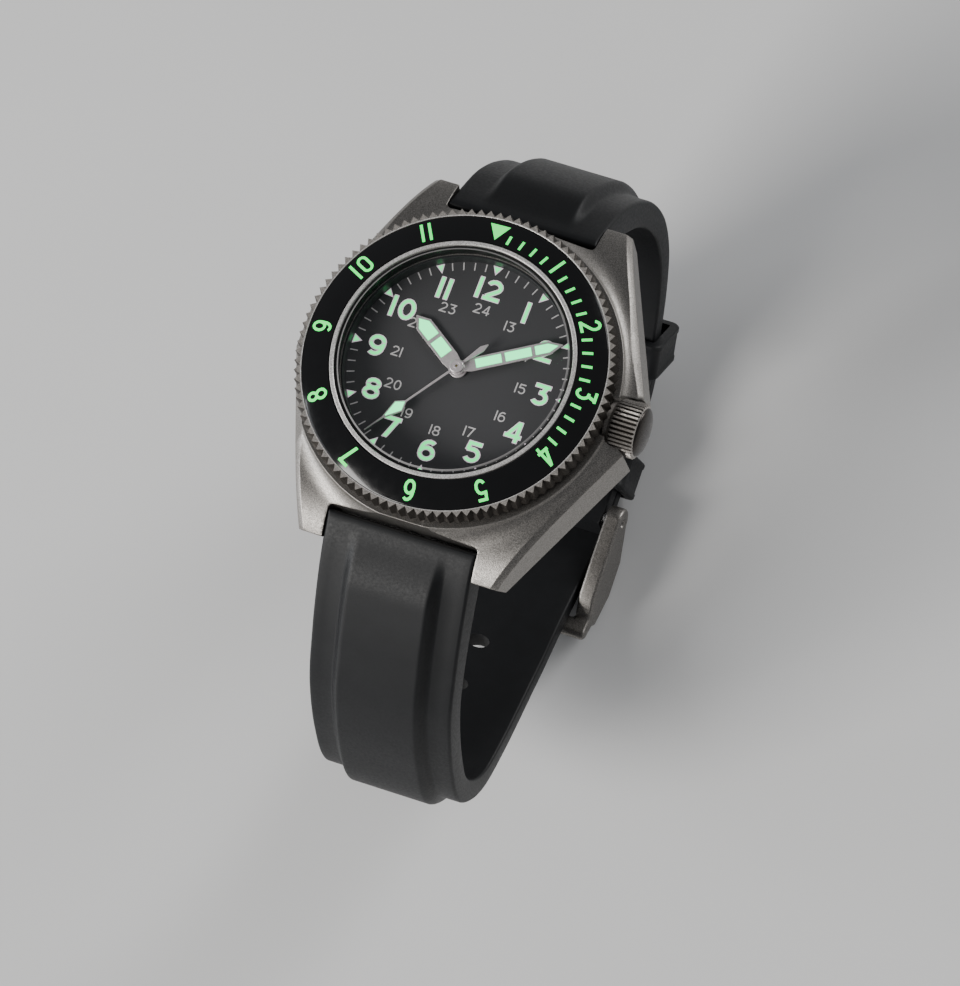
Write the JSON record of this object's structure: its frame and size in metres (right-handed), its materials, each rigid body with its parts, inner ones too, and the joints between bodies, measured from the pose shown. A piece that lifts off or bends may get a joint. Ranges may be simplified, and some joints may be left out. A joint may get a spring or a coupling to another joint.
{
  "type": "wristwatch",
  "caption": "Mechanical dive watch with a turning bezel, crown and working gear train, on a rubber strap buckled into a loop.",
  "frame": {"origin": "centre of the case back's outer face", "axes": "+Z out of the dial, +Y to 12 o'clock, +X to the crown at 3 o'clock"},
  "size_m": [0.0461, 0.0818, 0.0672],
  "materials": {
    "case_metal": "bead-blasted, fine matte grain, warm grey",
    "bezel_black": "polished glazed black with luminous marks",
    "sapphire": "clear polished flat crystal",
    "dial_anthracite": "matte anthracite with printed luminous numerals",
    "hand_metal": "satin silver with luminous fields",
    "strap_rubber": "matte black, fine grain",
    "gasket_rubber": "matte black",
    "rhodium_plate": "satin plated",
    "wheel_brass": "satin",
    "rotor_metal": "striped",
    "hairspring_blue": "blued",
    "movement_steel": "polished"
  },
  "bodies": {
    "case": {"balance_cock": "rhodium_plate", "balance_cock_screw": "movement_steel", "barrel_bridge": "rhodium_plate", "barrel_bridge_screw_a": "movement_steel", "barrel_bridge_screw_b": "movement_steel", "bezel_click_spring": "movement_steel", "buckle_bar": "movement_steel", "buckle_frame": "case_metal", "case_back": "case_metal", "case_back_gasket": "gasket_rubber", "chapter_ring": "dial_anthracite", "crown_tube": "movement_steel", "crystal": "sapphire", "crystal_gasket": "gasket_rubber", "crystal_ring": "case_metal", "dial": "dial_anthracite", "keeper_fixed": "strap_rubber", "main_plate": "rhodium_plate", "mid_case": "case_metal", "movement_ring": "rhodium_plate", "pallet_bridge": "rhodium_plate", "rotor_bearing": "movement_steel", "spring_bar_12": "movement_steel", "spring_bar_6": "movement_steel", "strap_12_short": "strap_rubber", "strap_6_long": "strap_rubber", "train_bridge": "rhodium_plate", "train_bridge_screw": "movement_steel"},
    "bezel": {"bezel_ring": "case_metal", "bezel_insert": "bezel_black"},
    "winding_works": {"sliding_pinion": "movement_steel", "winding_pinion": "movement_steel"},
    "crown": {"crown": "case_metal", "winding_stem": "movement_steel", "crown_gasket": "gasket_rubber"},
    "crown_wheel": {"crown_wheel": "movement_steel"},
    "ratchet": {"ratchet_wheel": "movement_steel"},
    "barrel": {"mainspring_barrel": "wheel_brass", "mainspring": "movement_steel"},
    "seconds": {"fourth_wheel": "wheel_brass", "seconds_hand": "hand_metal"},
    "minute": {"center_wheel": "wheel_brass", "cannon_pinion": "movement_steel", "minute_hand": "hand_metal"},
    "hour": {"hour_wheel": "wheel_brass", "hour_hand": "hand_metal"},
    "minute_wheel": {"minute_wheel": "wheel_brass"},
    "third": {"third_wheel": "wheel_brass"},
    "escape": {"escape_wheel": "movement_steel"},
    "pallet": {"pallet_fork": "movement_steel"},
    "balance": {"balance_wheel": "wheel_brass", "hairspring": "hairspring_blue"},
    "click": {"click": "movement_steel"},
    "rotor": {"rotor": "rotor_metal"},
    "reduction": {"reduction_wheel": "wheel_brass"},
    "tang": {"buckle_tang": "case_metal"},
    "keeper_free": {"keeper_free": "strap_rubber"}
  },
  "joints": [
    {"name": "bezel_turn", "type": "hinge", "parent": "case", "child": "bezel", "pos_m": [0, 0, 0.0117], "axis": [0, 0, 1], "continuous": true},
    {"name": "crown_turn", "type": "hinge", "parent": "case", "child": "winding_works", "pos_m": [0.0115, 0, 0.0073], "axis": [1, 0, 0], "continuous": true},
    {"name": "crown_pull", "type": "slide", "parent": "winding_works", "child": "crown", "axis": [1, 0, 0], "range_m": [0, 0.002]},
    {"name": "crown_wheel_turn", "type": "hinge", "parent": "case", "child": "crown_wheel", "pos_m": [0.009, 0, 0.0057], "axis": [0, 0, 1], "continuous": true},
    {"name": "ratchet_turn", "type": "hinge", "parent": "case", "child": "ratchet", "pos_m": [0.00382, 0.00501, 0.0054], "axis": [0, 0, 1], "continuous": true},
    {"name": "click_tilt", "type": "hinge", "parent": "case", "child": "click", "pos_m": [0.00575, 0.00996, 0.0054], "axis": [0, 0, 1], "range_deg": [-10, 0], "stiffness_Nm_per_rad": 0.00001},
    {"name": "seconds_turn", "type": "hinge", "parent": "case", "child": "seconds", "pos_m": [0, 0, 0.0058], "axis": [0, 0, -1], "continuous": true},
    {"name": "third_turn", "type": "hinge", "parent": "case", "child": "third", "pos_m": [-0.00154, -0.00423, 0.0055], "axis": [0, 0, -1], "continuous": true},
    {"name": "minute_turn", "type": "hinge", "parent": "case", "child": "minute", "pos_m": [0, 0, 0.0062], "axis": [0, 0, -1], "continuous": true},
    {"name": "barrel_turn", "type": "hinge", "parent": "case", "child": "barrel", "pos_m": [0.00382, 0.00501, 0.0076], "axis": [0, 0, -1], "continuous": true},
    {"name": "minute_wheel_turn", "type": "hinge", "parent": "case", "child": "minute_wheel", "pos_m": [0, -0.0022, 0.009], "axis": [0, 0, -1], "continuous": true},
    {"name": "hour_turn", "type": "hinge", "parent": "case", "child": "hour", "pos_m": [0, 0, 0.0093], "axis": [0, 0, -1], "continuous": true},
    {"name": "escape_turn", "type": "hinge", "parent": "case", "child": "escape", "pos_m": [-0.00432, 0.00076, 0.0068], "axis": [0, 0, -1], "continuous": true},
    {"name": "pallet_swing", "type": "hinge", "parent": "case", "child": "pallet", "pos_m": [-0.00579, -0.0012, 0.0068], "axis": [0, 0, 1], "range_deg": [-5, 5]},
    {"name": "balance_swing", "type": "hinge", "parent": "case", "child": "balance", "pos_m": [-0.00752, -0.00351, 0.0059], "axis": [0, 0, 1], "range_deg": [-270, 270], "stiffness_Nm_per_rad": 0.0000006},
    {"name": "rotor_turn", "type": "hinge", "parent": "case", "child": "rotor", "pos_m": [0, 0, 0.0025], "axis": [0, 0, 1], "continuous": true},
    {"name": "reduction_turn", "type": "hinge", "parent": "case", "child": "reduction", "pos_m": [-0.00057, 0.00637, 0.0035], "axis": [0, 0, 1], "continuous": true},
    {"name": "tang_lift", "type": "hinge", "parent": "case", "child": "tang", "pos_m": [0, 0.0022, -0.0463], "axis": [1, 0, 0], "range_deg": [0, 20]},
    {"name": "keeper_slide", "type": "slide", "parent": "case", "child": "keeper_free", "axis": [0, 0.7373, 0.6756], "range_m": [-0.001, 0.0015]}
  ],
  "couplings": [
    {"joint": "crown_wheel_turn", "follows": "crown_turn", "ratio": 0.375},
    {"joint": "ratchet_turn", "follows": "crown_turn", "ratio": -0.3},
    {"joint": "third_turn", "follows": "seconds_turn", "ratio": -0.13333},
    {"joint": "minute_turn", "follows": "seconds_turn", "ratio": 0.016667},
    {"joint": "barrel_turn", "follows": "seconds_turn", "ratio": -0.0027778},
    {"joint": "minute_wheel_turn", "follows": "seconds_turn", "ratio": -0.0055556},
    {"joint": "hour_turn", "follows": "seconds_turn", "ratio": 0.0013889},
    {"joint": "escape_turn", "follows": "seconds_turn", "ratio": -12},
    {"joint": "reduction_turn", "follows": "rotor_turn", "ratio": -0.52381}
  ]
}
